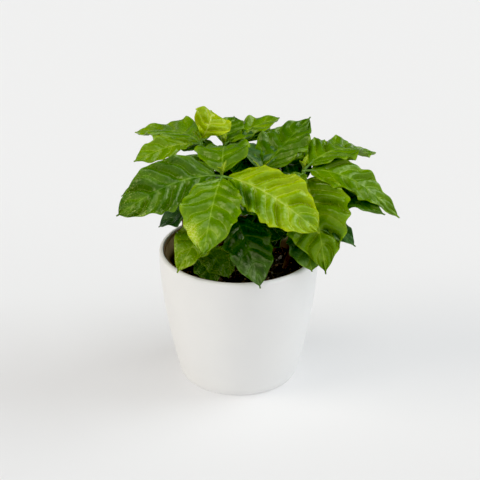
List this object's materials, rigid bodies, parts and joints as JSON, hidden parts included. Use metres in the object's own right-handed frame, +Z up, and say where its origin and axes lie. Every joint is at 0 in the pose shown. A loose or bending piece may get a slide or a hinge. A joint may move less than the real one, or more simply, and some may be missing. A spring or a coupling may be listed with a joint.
{
  "type": "potted arabica coffee plant",
  "caption": "Young arabica coffee seedlings with glossy quilted leaves growing close together in a plain round white tapering pot.",
  "frame": {"origin": "centre of the pot's flat underside, on the floor or table it stands on", "axes": "+Z up; +X to the right and +Y away from the viewer in the picture"},
  "size_m": [0.2344, 0.1999, 0.2312],
  "materials": {
    "pot": "white satin glaze",
    "nursery_pot": "taupe brown moulded plastic",
    "soil": "dark moist potting compost",
    "stem": "thin brown bark, green above",
    "leaf": "glossy quilted leaf with a pale midrib"
  },
  "bodies": {
    "root": {"pot": "pot", "nursery_pot": "nursery_pot", "soil": "soil", "stem_front_left": "stem", "leaves_front_left": "leaf", "stem_back_left": "stem", "leaves_back_left": "leaf", "stem_right": "stem", "leaves_right": "leaf", "stem_back": "stem", "leaves_back": "leaf", "stem_centre": "stem", "leaves_centre": "leaf", "stem_back_right": "stem", "leaves_back_right": "leaf", "stem_left": "stem", "leaves_left": "leaf", "stem_front": "stem", "leaves_front": "leaf", "stem_low": "stem", "leaves_low": "leaf"}
  },
  "joints": []
}
